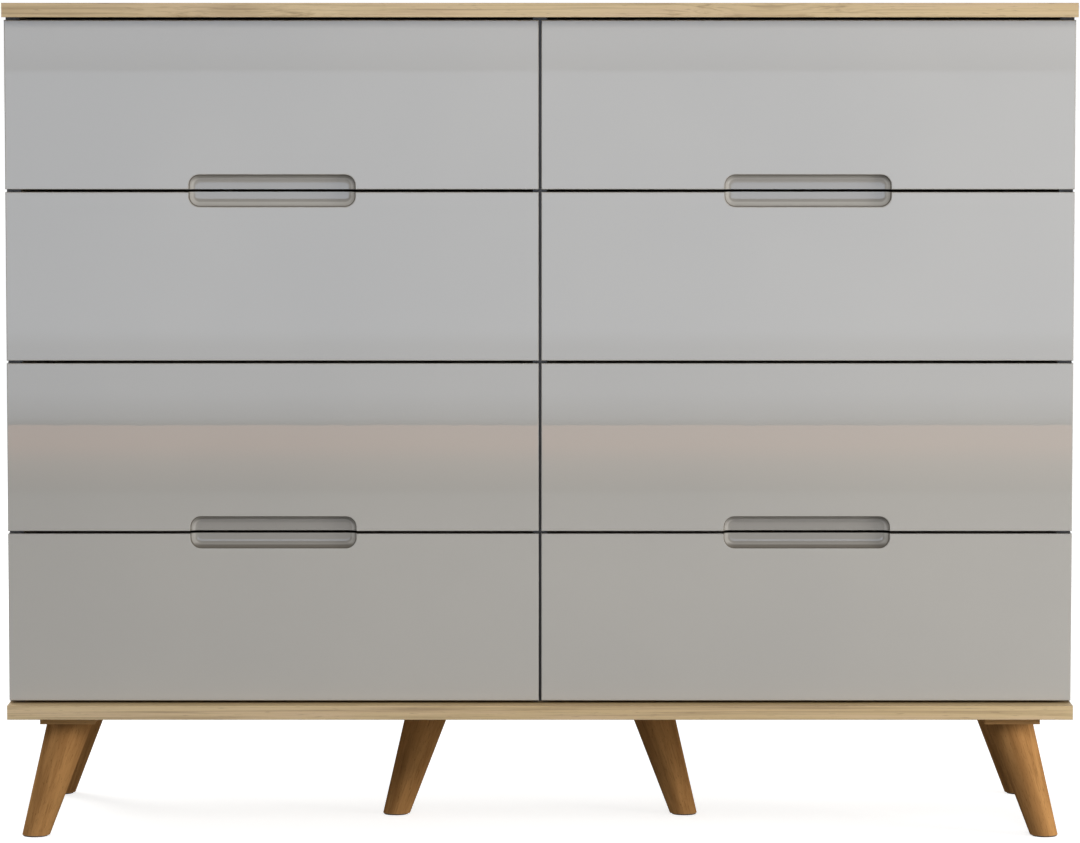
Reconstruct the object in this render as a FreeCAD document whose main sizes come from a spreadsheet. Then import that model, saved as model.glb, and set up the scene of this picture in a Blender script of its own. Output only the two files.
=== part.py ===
import FreeCAD, Part
import math
import os
import re
import Sketcher

# Dresser with eight drawers, in two columns of four, on six splayed legs.
# Frame: origin on the floor under the middle of the dresser, +X to the right, +Y to the back, +Z up.
# Every length is in millimetres and every angle in degrees.

DIMENSIONS = [
    ("width", 1200, "top and bottom panels, left to right"),
    ("depth", 400, "top and bottom panels, front to back"),
    ("board", 16, "thickness of the carcass boards and the drawer fronts"),
    ("panel_radius", 0.8, "rounding of the long edges of the top and bottom panels"),
    ("leg_height", 140, "floor to the underside of the bottom panel"),
    ("front_height", 189.5, "one drawer front"),
    ("gap", 3, "joint between fronts, and between fronts and panels"),
    ("front_setback", 20, "front edge of the panels to the face of the drawer fronts"),
    ("front_margin", 0.5, "end of the panels to the outer edge of the fronts and sides"),
    ("front_radius", 1, "rounding of the drawer fronts"),
    ("bumper", 2, "air between a closed front and the front edges of the uprights"),
    ("grip_width", 187, "grip recess shared by two fronts"),
    ("grip_height", 36, "grip recess, across both fronts and their joint"),
    ("grip_corner", 12, "corner radius of the grip recess"),
    ("grip_depth", 11, "grip recess into the face of the front"),
    ("grip_floor_radius", 9, "hollow round between the floor and the wall of the recess"),
    ("back_thickness", 3, "back panels"),
    ("back_inset", 10, "rear edges of the carcass to the back panels"),
    ("back_groove", 5, "depth of the grooves that hold the back panels"),
    ("groove_play", 0.2, "play of a thin board in its groove, at each face and at the bottom"),
    ("box_board", 12, "sides and back of a drawer box"),
    ("box_height", 130, "sides and back of a drawer box"),
    ("box_length", 340, "drawer box behind its front"),
    ("box_lift", 20, "lower edge of a front to the lower edge of its box"),
    ("base_thickness", 3, "drawer base board"),
    ("base_lift", 10, "lower edge of a drawer box to its base board"),
    ("base_groove", 6, "depth of the grooves that hold the drawer base"),
    ("rail_length", 300, "every runner rail"),
    ("rail_steel", 1.2, "sheet thickness of the runner rails"),
    ("rail_lip", 3, "turned-in edge of a rail"),
    ("rail_setback", 3, "front edges of the uprights to the runners"),
    ("runner_space", 13, "air between a drawer box and an upright, filled by the runner"),
    ("runner_lift", 42, "lower edge of a drawer box to the middle of its runners"),
    ("cabinet_rail_width", 10.5, "rail on the upright, across the runner space"),
    ("cabinet_rail_height", 45, "rail on the upright"),
    ("middle_rail_offset", 2.6, "face of the upright to the middle rail"),
    ("middle_rail_width", 8.2, "middle rail, across the runner space"),
    ("middle_rail_height", 36, "middle rail"),
    ("drawer_rail_width", 7, "rail on the drawer box, across the runner space"),
    ("drawer_rail_height", 25, "rail on the drawer box"),
    ("plate_size", 62, "side of a square leg plate"),
    ("plate_thickness", 8, "leg plate"),
    ("plate_end_inset", 35, "ends of the bottom panel to the corner leg plates"),
    ("plate_edge_inset", 20, "front and rear edges of the bottom panel to the corner leg plates"),
    ("middle_leg_offset", 128, "middle of the dresser to the top of a middle leg"),
    ("leg_top", 50, "diameter of a leg under its plate"),
    ("leg_foot", 30, "diameter of a leg at the floor"),
    ("leg_splay", 17, "lean of every leg, outwards to its side"),
    ("leg_spare", 12, "turned length that is sawn off level at each end of a leg"),
    ("glide_diameter", 28, "plastic glide under a leg"),
    ("glide_thickness", 1.5, "plastic glide under a leg"),
    ("screw_offset", 22, "middle of a leg plate to its screws, along each edge"),
    ("screw_length", 18, "leg plate screw, under its head"),
    ("screw_diameter", 4, "leg plate screw"),
    ("screw_head", 8, "leg plate screw head"),
    ("screw_head_height", 2.4, "countersunk leg plate screw head"),
    ("screw_play", 0.3, "air round a screw in its leg plate"),
    ("pilot_diameter", 3, "pilot holes in the bottom panel"),
    ("cam_diameter", 15, "cam lock"),
    ("cam_height", 12, "cam lock"),
    ("cam_hole_depth", 12.5, "hole of a cam lock"),
    ("cam_distance", 34, "end of an upright to the middle of a cam lock"),
    ("cam_margin", 70, "front and rear edges of an upright to its cam locks"),
    ("cam_slot_width", 1.6, "screwdriver slot of a cam lock"),
    ("cam_slot_length", 8, "screwdriver slot of a cam lock"),
    ("cam_slot_depth", 2, "screwdriver slot of a cam lock"),
    ("bolt_thread", 6, "diameter of the cam bolt's thread"),
    ("bolt_thread_length", 11, "cam bolt's thread in the panel"),
    ("bolt_shank", 5, "diameter of the cam bolt between thread and head"),
    ("bolt_head", 6.4, "diameter of the cam bolt's head"),
    ("bolt_head_length", 4, "cam bolt's head inside the cam lock"),
    ("bolt_bore", 8, "diameter of the cam bolt's bore in the upright"),
    ("cam_bore", 7, "diameter of the bolt's passage through the cam lock"),
    ("dowel_diameter", 8, "wooden dowel"),
    ("dowel_length", 30, "wooden dowel"),
    ("dowel_in_panel", 10, "length of a dowel inside the top or bottom panel"),
    ("dowel_spare", 1, "spare depth of a dowel's bore in the upright"),
    ("dowel_margin", 34, "front and rear edges of an upright to its dowels"),
]

# Formulas in the words of the sheet. Each body's own origin is its lowest left front corner.
CAVITY = "(4 * front_height + 5 * gap)"
UPRIGHT_DEPTH = "(depth - front_setback - board - bumper)"
UPRIGHT_FRONT = "(-depth / 2 + front_setback + board + bumper)"
OPENING = "(width / 2 - front_margin - 1.5 * board)"
FRONT_WIDTH = "((width - 2 * front_margin - gap) / 2)"
FRONT_FACE = "(-depth / 2 + front_setback)"
BOX_WIDTH = "(width / 2 - front_margin - 1.5 * board - 2 * runner_space)"
BASE_Y = "(-(base_groove - groove_play))"
FLOOR_Z = "(leg_height + board)"
LEG_LENGTH = "(leg_height - plate_thickness)"
LEG_TAPER = "((leg_top - leg_foot) / 2 / (leg_height - plate_thickness))"
BACK_GROOVE_WIDTH = "(back_thickness + 2 * groove_play)"
BASE_GROOVE_WIDTH = "(base_thickness + 2 * groove_play)"

SIDES = [("left", -1), ("right", 1)]
ROWS = ["bottom", "lower", "upper", "top"]
ENDS = [("bottom", 1), ("top", -1)]
GRIP_AT_TOP = {"bottom": True, "lower": False, "upper": True, "top": False}

# For each axis: the origin plane square to it, and which way along the axis that plane faces.
PLANES = {"x": ("YZ_Plane", 1), "y": ("XZ_Plane", -1), "z": ("XY_Plane", 1)}

SIZES = {name: value for name, value, _ in DIMENSIONS}
TOLERANCE = 0.01
ALIASES = re.compile(r"\b(" + "|".join(name for name, _, _ in DIMENSIONS) + r")\b")
Z_AXIS = FreeCAD.Vector(0, 0, 1)
UNTURNED = FreeCAD.Rotation()
HALF_TURN = FreeCAD.Rotation(Z_AXIS, 180)
UPSIDE_DOWN = FreeCAD.Rotation(FreeCAD.Vector(1, 0, 0), 180)

document = FreeCAD.newDocument("Dresser")
subparts = []


def fill_sheet():
    """Writes every driving dimension, with its name as the alias of its cell."""
    sheet = document.addObject("Spreadsheet::Sheet", "Sizes")
    for row, (name, value, meaning) in enumerate(DIMENSIONS, 1):
        sheet.set(f"A{row}", name)
        sheet.set(f"B{row}", str(value))
        sheet.set(f"C{row}", meaning)
        sheet.setAlias(f"B{row}", name)
    document.recompute()


def bind(item, target, formula):
    """Binds a property or a sketch constraint to a formula in the words of the sheet."""
    item.setExpression(target, ALIASES.sub(r"Sizes.\1", formula))


def place(item, x="0", y="0", z="0", rotation=UNTURNED):
    item.Placement = FreeCAD.Placement(FreeCAD.Vector(), rotation)
    for axis, formula in (("x", x), ("y", y), ("z", z)):
        bind(item, f"Placement.Base.{axis}", formula)
    return item


def keep(item, label):
    """Marks an object as a sub-part and names it."""
    item.Label = label
    subparts.append(item)
    return item


def new_body(name):
    return document.addObject("PartDesign::Body", name)


def new_sketch(body, axis, level="0"):
    """A sketch square to an axis of its body, at a level along that axis."""
    role, facing = PLANES[axis]
    plane = [feature for feature in body.Origin.OriginFeatures if feature.Role == role][0]
    sketch = body.newObject("Sketcher::SketchObject", body.Name + "_sketch")
    sketch.AttachmentSupport = [(plane, "")]
    sketch.MapMode = "FlatFace"
    bind(sketch, "AttachmentOffset.Base.z", f"{facing} * ({level})")
    return sketch


def measure(sketch, kind, start, end, formula):
    """A distance between two points of the sketch, each given as (geometry, point)."""
    number = sketch.addConstraint(Sketcher.Constraint(kind, *start, *end, 1.0))
    bind(sketch, f"Constraints[{number}]", formula)


def draw_polygon(sketch, corners):
    """A closed outline through corners given as pairs of formulas."""
    first = sketch.GeometryCount
    count = len(corners)
    turn = 2 * math.pi / count
    rough = [FreeCAD.Vector(math.cos(turn * i), math.sin(turn * i), 0) for i in range(count)]
    for i in range(count):
        sketch.addGeometry(Part.LineSegment(rough[i], rough[(i + 1) % count]), False)
    for i in range(count):
        sketch.addConstraint(Sketcher.Constraint("Coincident", first + i, 2, first + (i + 1) % count, 1))
    for i, (x, y) in enumerate(corners):
        measure(sketch, "DistanceX", (-1, 1), (first + i, 1), x)
        measure(sketch, "DistanceY", (-1, 1), (first + i, 1), y)


def draw_rectangle(sketch, x, y, width, height):
    right = f"{x} + {width}"
    upper = f"{y} + {height}"
    draw_polygon(sketch, [(x, y), (right, y), (right, upper), (x, upper)])


def draw_circle(sketch, x, y, diameter):
    circle = sketch.addGeometry(Part.Circle(FreeCAD.Vector(1, 1, 0), Z_AXIS, 1), False)
    number = sketch.addConstraint(Sketcher.Constraint("Diameter", circle, 2.0))
    bind(sketch, f"Constraints[{number}]", diameter)
    measure(sketch, "DistanceX", (-1, 1), (circle, 3), x)
    measure(sketch, "DistanceY", (-1, 1), (circle, 3), y)


def draw_rounded_rectangle(sketch, x, y, width, height, radius):
    """A rectangle with round corners: four lines, each followed by its corner arc."""
    first = sketch.GeometryCount
    half, rough_radius = 4, 1
    for side in range(4):
        angle = math.radians(90 * side)
        spin = FreeCAD.Rotation(Z_AXIS, 90 * side)
        start = spin.multVec(FreeCAD.Vector(rough_radius - half, -half, 0))
        end = spin.multVec(FreeCAD.Vector(half - rough_radius, -half, 0))
        centre = spin.multVec(FreeCAD.Vector(half - rough_radius, rough_radius - half, 0))
        corner = Part.Circle(centre, Z_AXIS, rough_radius)
        sketch.addGeometry(Part.LineSegment(start, end), False)
        sketch.addGeometry(Part.ArcOfCircle(corner, angle - math.pi / 2, angle), False)
    for i in range(8):
        sketch.addConstraint(Sketcher.Constraint("Tangent", first + i, 2, first + (i + 1) % 8, 1))
    for line, direction in ((0, "Horizontal"), (2, "Vertical"), (4, "Horizontal"), (6, "Vertical")):
        sketch.addConstraint(Sketcher.Constraint(direction, first + line))
    for arc in (3, 5, 7):
        sketch.addConstraint(Sketcher.Constraint("Equal", first + 1, first + arc))
    number = sketch.addConstraint(Sketcher.Constraint("Radius", first + 1, 1.0))
    bind(sketch, f"Constraints[{number}]", radius)
    measure(sketch, "DistanceX", (-1, 1), (first + 6, 1), x)
    measure(sketch, "DistanceY", (-1, 1), (first, 1), y)
    measure(sketch, "DistanceX", (first + 6, 1), (first + 2, 1), width)
    measure(sketch, "DistanceY", (first, 1), (first + 4, 1), height)


def pad(body, sketch, axis, length):
    """Raises a sketch along its axis, always towards the positive side."""
    feature = body.newObject("PartDesign::Pad", body.Name + "_pad")
    feature.Profile = sketch
    feature.Reversed = PLANES[axis][1] < 0
    bind(feature, "Length", length)
    return feature


def pocket(body, sketch, axis, direction, depth):
    """Cuts a sketch into its body, towards the positive (1) or negative (-1) side of the axis."""
    document.recompute()
    before = body.Shape.Volume
    feature = body.newObject("PartDesign::Pocket", body.Name + "_pocket")
    feature.Profile = sketch
    feature.Reversed = direction == PLANES[axis][1]
    bind(feature, "Length", depth)
    document.recompute()
    if not body.Shape.Volume < before:
        raise RuntimeError(f"{feature.Name} cuts nothing")
    return feature


def round_edges(body, radius, chosen):
    """Rounds those edges of a body whose bounding box the given function accepts."""
    document.recompute()
    feature = body.Tip
    edges = [f"Edge{i}" for i, edge in enumerate(feature.Shape.Edges, 1) if chosen(edge.BoundBox)]
    fillet = body.newObject("PartDesign::Fillet", body.Name + "_fillet")
    fillet.Base = (feature, edges)
    bind(fillet, "Radius", radius)
    document.recompute()


def make_board(name, width, depth, height):
    """A board with its lowest left front corner at its own origin."""
    body = new_body(name)
    outline = new_sketch(body, "z")
    draw_rectangle(outline, "0", "0", width, depth)
    pad(body, outline, "z", height)
    return body


def copies(name, source, places):
    """One sub-part made of equal solids: a link to the source at each (x, y, z, rotation)."""
    links = []
    for number, (x, y, z, rotation) in enumerate(places, 1):
        link = document.addObject("App::Link", f"{name}_{number}")
        link.LinkedObject = source
        links.append(place(link, x, y, z, rotation))
    group = document.addObject("Part::Compound", name)
    group.Links = links
    return keep(group, name)


def mirrored(sign, near, size="0"):
    """Lowest X of something that spans size and starts near away from the middle, on one side."""
    return f"{near}" if sign > 0 else f"-({near} + {size})"


def upright_centres():
    """X of the middle of each upright's thickness, from the left end of the panels."""
    outer = "(front_margin + board / 2)"
    return [outer, "(width / 2)", f"(width - {outer})"]


def fitting_rows(margin):
    """The two distances of a fitting from the front edge of an upright."""
    return [margin, f"({UPRIGHT_DEPTH} - {margin})"]


def make_panel(label, inner_face):
    """Top or bottom panel: bored and grooved on the face that meets the uprights."""
    body = make_board(label, "width", "depth", "board")
    level, inward = ("board", -1) if inner_face > 0 else ("0", 1)
    upright_front = f"(depth - {UPRIGHT_DEPTH})"
    groove = new_sketch(body, "z", level)
    groove_y = f"(depth - back_inset - {BACK_GROOVE_WIDTH})"
    groove_x = "(front_margin + board - back_groove)"
    draw_rectangle(groove, groove_x, groove_y, f"(width - 2 * {groove_x})", BACK_GROOVE_WIDTH)
    pocket(body, groove, "z", inward, "back_groove")
    for margin, diameter, bore_depth in (
        ("dowel_margin", "dowel_diameter", "dowel_in_panel"),
        ("cam_margin", "bolt_thread", "bolt_thread_length"),
    ):
        bores = new_sketch(body, "z", level)
        for x in upright_centres():
            for row in fitting_rows(margin):
                draw_circle(bores, x, f"({upright_front} + {row})", diameter)
        pocket(body, bores, "z", inward, bore_depth)
    return body


def runs_along_front_or_rear(box):
    """Whether an edge of a panel runs from end to end along its front or its rear."""
    along = box.XLength > SIZES["width"] - TOLERANCE and box.YLength < TOLERANCE
    return along and (box.YMin < TOLERANCE or box.YMax > SIZES["depth"] - TOLERANCE)


def finish_panel(body, label, z):
    round_edges(body, "panel_radius", runs_along_front_or_rear)
    place(body, "-width / 2", "-depth / 2", z)
    return keep(body, label)


def plate_centres():
    """Middle of each leg plate as (name, side, x, y), corner legs first."""
    corner_x = "(width / 2 - plate_end_inset - plate_size / 2)"
    corner_y = "(depth / 2 - plate_edge_inset - plate_size / 2)"
    places = []
    for side, sign in SIDES:
        places.append((f"front_{side}", sign, f"{sign} * {corner_x}", f"-{corner_y}"))
        places.append((f"back_{side}", sign, f"{sign} * {corner_x}", corner_y))
        places.append((f"middle_{side}", sign, f"{sign} * middle_leg_offset", "0"))
    return places


def screw_places():
    """Middle of each leg plate screw as (x, y)."""
    steps = [(dx, dy) for dx in (-1, 1) for dy in (-1, 1)]
    return [
        (f"({x} + {dx} * screw_offset)", f"({y} + {dy} * screw_offset)")
        for _, _, x, y in plate_centres()
        for dx, dy in steps
    ]


def make_panels():
    top = make_panel("top_panel", -1)
    finish_panel(top, "top_panel", f"{FLOOR_Z} + {CAVITY}")
    bottom = make_panel("bottom_panel", 1)
    pilots = new_sketch(bottom, "z")
    for x, y in screw_places():
        draw_circle(pilots, f"({x} + width / 2)", f"({y} + depth / 2)", "pilot_diameter")
    pocket(bottom, pilots, "z", 1, "screw_length - plate_thickness + screw_head_height")
    finish_panel(bottom, "bottom_panel", "leg_height")


def bore_upright_ends(body):
    """Bores for dowels and cam bolts in both ends of an upright."""
    for level, inward in (("0", 1), (CAVITY, -1)):
        for margin, diameter, bore_depth in (
            ("dowel_margin", "dowel_diameter", "dowel_length - dowel_in_panel + dowel_spare"),
            ("cam_margin", "bolt_bore", "cam_distance"),
        ):
            bores = new_sketch(body, "z", level)
            for row in fitting_rows(margin):
                draw_circle(bores, "board / 2", row, diameter)
            pocket(body, bores, "z", inward, bore_depth)


def cut_upright_face(body, facing):
    """Groove of a back panel in the face on the right (1) or left (-1) of an upright."""
    groove = new_sketch(body, "x", "board" if facing > 0 else "0")
    groove_y = f"({UPRIGHT_DEPTH} - back_inset - {BACK_GROOVE_WIDTH})"
    draw_rectangle(groove, groove_y, "0", BACK_GROOVE_WIDTH, CAVITY)
    pocket(body, groove, "x", -facing, "back_groove")


def bore_cam_holes(body, facing):
    """Holes of the cam locks in the face on the right (1) or left (-1) of an upright."""
    holes = new_sketch(body, "x", "board" if facing > 0 else "0")
    for row in fitting_rows("cam_margin"):
        for z in ("cam_distance", f"({CAVITY} - cam_distance)"):
            draw_circle(holes, row, z, "cam_diameter")
    pocket(body, holes, "x", -facing, "cam_hole_depth")


def make_uprights():
    outer_x = "(width / 2 - front_margin - board)"
    uprights = [
        ("left_side_panel", f"-({outer_x} + board)", [1], 1),
        ("centre_divider", "-board / 2", [1, -1], 1),
        ("right_side_panel", outer_x, [-1], -1),
    ]
    for label, x, grooved_faces, cam_face in uprights:
        body = make_board(label, "board", UPRIGHT_DEPTH, CAVITY)
        for facing in grooved_faces:
            cut_upright_face(body, facing)
        bore_upright_ends(body)
        bore_cam_holes(body, cam_face)
        place(body, x, UPRIGHT_FRONT, FLOOR_Z)
        keep(body, label)


def make_back_panels():
    reach = "(back_groove - groove_play)"
    for side, sign in SIDES:
        label = f"back_panel_{side}"
        sheet = document.addObject("Part::Box", label)
        bind(sheet, "Length", f"{OPENING} + 2 * {reach}")
        bind(sheet, "Width", "back_thickness")
        bind(sheet, "Height", f"{CAVITY} + 2 * {reach}")
        x = mirrored(sign, f"board / 2 - {reach}", f"{OPENING} + 2 * {reach}")
        place(sheet, x, "depth / 2 - back_inset - groove_play - back_thickness", f"{FLOOR_Z} - {reach}")
        keep(sheet, label)


def make_fittings():
    """Dowels, cam locks and cam bolts at both ends of the three uprights."""
    dowel = document.addObject("Part::Cylinder", "dowel")
    bind(dowel, "Radius", "dowel_diameter / 2")
    bind(dowel, "Height", "dowel_length")
    bolt = new_body("cam_bolt")
    profile = new_sketch(bolt, "y")
    draw_polygon(profile, [
        ("0", "-bolt_thread_length"),
        ("bolt_thread / 2", "-bolt_thread_length"),
        ("bolt_thread / 2", "0"),
        ("bolt_shank / 2", "0"),
        ("bolt_shank / 2", "cam_distance - bolt_head_length"),
        ("bolt_head / 2", "cam_distance - bolt_head_length"),
        ("bolt_head / 2", "cam_distance"),
        ("0", "cam_distance"),
    ])
    turned = bolt.newObject("PartDesign::Revolution", "cam_bolt_turned")
    turned.Profile = profile
    turned.ReferenceAxis = (profile, ["V_Axis"])
    cam = new_body("cam_lock")
    disc = new_sketch(cam, "z")
    draw_circle(disc, "0", "0", "cam_diameter")
    pad(cam, disc, "z", "cam_height")
    passage = new_sketch(cam, "x", "-cam_diameter / 2")
    draw_circle(passage, "0", "cam_height - board / 2", "cam_bore")
    pocket(cam, passage, "x", 1, "cam_diameter")
    slot = new_sketch(cam, "z", "cam_height")
    draw_rectangle(slot, "-cam_slot_length / 2", "-cam_slot_width / 2", "cam_slot_length", "cam_slot_width")
    pocket(cam, slot, "z", -1, "cam_slot_depth")
    outward = FreeCAD.Rotation(FreeCAD.Vector(0, 1, 0), 90)
    inward = FreeCAD.Rotation(FreeCAD.Vector(0, 1, 0), -90)
    cam_sides = [(1, outward), (1, outward), (-1, inward)]
    dowels, bolts, cams = [], [], []
    for centre, (facing, turn) in zip(upright_centres(), cam_sides):
        x = f"({centre} - width / 2)"
        cam_x = f"({x} + {facing} * (board / 2 - cam_height))"
        for end, upward in ENDS:
            joint = FLOOR_Z if upward > 0 else f"({FLOOR_Z} + {CAVITY})"
            upright = UNTURNED if upward > 0 else UPSIDE_DOWN
            for row in fitting_rows("dowel_margin"):
                y = f"({UPRIGHT_FRONT} + {row})"
                dowels.append((x, y, f"{joint} - {upward} * dowel_in_panel", upright))
            for row in fitting_rows("cam_margin"):
                y = f"({UPRIGHT_FRONT} + {row})"
                bolts.append((x, y, joint, upright))
                cams.append((cam_x, y, f"{joint} + {upward} * cam_distance", turn))
    copies("dowels", dowel, dowels)
    copies("cam_bolts", bolt, bolts)
    copies("cam_locks", cam, cams)


def make_screw(name, play):
    """A countersunk screw, head down at its origin; with play it is the hole that the screw needs."""
    head = document.addObject("Part::Cone", name + "_head")
    bind(head, "Radius1", f"screw_head / 2 + {play}")
    bind(head, "Radius2", f"screw_diameter / 2 + {play}")
    bind(head, "Height", f"screw_head_height + {play}")
    shank = document.addObject("Part::Cylinder", name + "_shank")
    bind(shank, "Radius", f"screw_diameter / 2 + {play}")
    bind(shank, "Height", "screw_length")
    screw = document.addObject("Part::Fuse", name)
    screw.Base = head
    screw.Tool = shank
    return screw


def make_legs():
    """Six turned legs, each sawn level under its plate and above its glide."""
    stretch = f"({LEG_LENGTH} + 2 * leg_spare)"
    for name, sign, x, y in plate_centres():
        cone = document.addObject("Part::Cone", f"turned_{name}")
        bind(cone, "Radius1", f"leg_foot / 2 - leg_spare * {LEG_TAPER}")
        bind(cone, "Radius2", f"leg_top / 2 + leg_spare * {LEG_TAPER}")
        bind(cone, "Height", f"{stretch} / cos(leg_splay)")
        lean = FreeCAD.Rotation(FreeCAD.Vector(0, -sign, 0), 1)
        place(cone, f"{sign} * ({LEG_LENGTH} + leg_spare) * tan(leg_splay)", "0", "-leg_spare", lean)
        bind(cone, "Placement.Rotation.Angle", "leg_splay")
        sawn = document.addObject("Part::Box", f"sawn_{name}")
        bind(sawn, "Length", "4 * leg_top")
        bind(sawn, "Width", "4 * leg_top")
        bind(sawn, "Height", f"{LEG_LENGTH} - glide_thickness")
        place(sawn, "-2 * leg_top", "-2 * leg_top", "glide_thickness")
        leg = document.addObject("Part::Common", f"leg_{name}")
        leg.Base = cone
        leg.Tool = sawn
        place(leg, x, y)
        keep(leg, f"leg_{name}")


def make_leg_fixings():
    """Plates, their screws and the glides."""
    block = document.addObject("Part::Box", "plate_block")
    bind(block, "Length", "plate_size")
    bind(block, "Width", "plate_size")
    bind(block, "Height", "plate_thickness")
    place(block, "-plate_size / 2", "-plate_size / 2")
    hole = make_screw("screw_hole", "screw_play")
    holes = []
    for dx in (-1, 1):
        for dy in (-1, 1):
            link = document.addObject("App::Link", "plate_hole")
            link.LinkedObject = hole
            holes.append(place(link, f"{dx} * screw_offset", f"{dy} * screw_offset"))
    drill = document.addObject("Part::Compound", "plate_holes")
    drill.Links = holes
    plate = document.addObject("Part::Cut", "leg_plate")
    plate.Base = block
    plate.Tool = drill
    centres = [(x, y) for _, _, x, y in plate_centres()]
    copies("leg_plates", plate, [(x, y, LEG_LENGTH, UNTURNED) for x, y in centres])
    screw = make_screw("plate_screw", "0")
    copies("leg_plate_screws", screw, [(x, y, LEG_LENGTH, UNTURNED) for x, y in screw_places()])
    glide = document.addObject("Part::Cylinder", "leg_glide")
    bind(glide, "Radius", "glide_diameter / 2")
    bind(glide, "Height", "glide_thickness")
    foot_x = f"({LEG_LENGTH} * tan(leg_splay))"
    feet = [(f"({x} + {sign} * {foot_x})", y) for _, sign, x, y in plate_centres()]
    copies("leg_glides", glide, [(x, y, "0", UNTURNED) for x, y in feet])


def make_rail(name, width, height):
    """A runner rail: a channel with turned-in edges, its web at x = 0 and open towards +X."""
    body = new_body(name)
    profile = new_sketch(body, "y")
    top, inner, lip = f"{height} / 2", f"({height} / 2 - rail_steel)", f"({height} / 2 - rail_lip)"
    edge = f"({width} - rail_steel)"
    upper = [(width, top), (width, lip), (edge, lip), (edge, inner), ("rail_steel", inner)]
    lower = [(x, f"-{z}") for x, z in reversed(upper)]
    draw_polygon(profile, [("0", top)] + upper + lower + [("0", f"-{top}")])
    pad(body, profile, "y", "rail_length")
    return body


def lies_in_front_face(box):
    return box.YMax < TOLERANCE


def bounds_grip_floor(box):
    """Whether an edge of a front runs round the floor of its recess, not along the joint."""
    low, high = SIZES["grip_depth"] - TOLERANCE, SIZES["grip_depth"] + TOLERANCE
    at_joint = box.ZLength < TOLERANCE and (
        box.ZMin < TOLERANCE or box.ZMax > SIZES["front_height"] - TOLERANCE
    )
    return low < box.YMin and box.YMax < high and not at_joint


def make_front(label, grip_at_top):
    """A drawer front with half a grip recess in its face, hollow towards the upper or lower joint."""
    body = make_board(label, FRONT_WIDTH, "board", "front_height")
    centre = "(front_height + gap / 2)" if grip_at_top else "(-gap / 2)"
    recess = new_sketch(body, "y")
    left = f"({FRONT_WIDTH} / 2 - grip_width / 2)"
    lowest = f"({centre} - grip_height / 2)"
    draw_rounded_rectangle(recess, left, lowest, "grip_width", "grip_height", "grip_corner")
    pocket(body, recess, "y", 1, "grip_depth")
    round_edges(body, "grip_floor_radius", bounds_grip_floor)
    round_edges(body, "front_radius", lies_in_front_face)
    return body


def groove_front(body, base_x, base_width):
    """The groove in the rear of a front that holds the front edge of the drawer base."""
    groove = new_sketch(body, "y", "board")
    z = "(box_lift + base_lift - groove_play)"
    draw_rectangle(groove, base_x, z, base_width, BASE_GROOVE_WIDTH)
    pocket(body, groove, "y", -1, "base_groove")


def make_box_boards(name):
    """Left side, back and right side of a drawer box, mitred at the rear corners."""
    inner, far = f"({BOX_WIDTH} - box_board)", "(box_length - box_board)"
    groove_z = "(base_lift - groove_play)"
    outlines = {
        "left": [("0", "0"), ("box_board", "0"), ("box_board", far), ("0", "box_length")],
        "right": [(inner, "0"), (BOX_WIDTH, "0"), (BOX_WIDTH, "box_length"), (inner, far)],
        "back": [("box_board", far), (inner, far), (BOX_WIDTH, "box_length"), ("0", "box_length")],
    }
    boards = []
    for side, corners in outlines.items():
        body = new_body(f"{name}_{side}")
        outline = new_sketch(body, "z")
        draw_polygon(outline, corners)
        pad(body, outline, "z", "box_height")
        if side == "back":
            groove = new_sketch(body, "y", far)
            groove_x = "(box_board - base_groove)"
            groove_width = f"({BOX_WIDTH} - 2 * {groove_x})"
            draw_rectangle(groove, groove_x, groove_z, groove_width, BASE_GROOVE_WIDTH)
            pocket(body, groove, "y", 1, "base_groove")
        else:
            groove = new_sketch(body, "x", "box_board" if side == "left" else inner)
            draw_rectangle(groove, "0", groove_z, f"({far} + base_groove)", BASE_GROOVE_WIDTH)
            pocket(body, groove, "x", -1 if side == "left" else 1, "base_groove")
        boards.append(body)
    return boards


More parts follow.
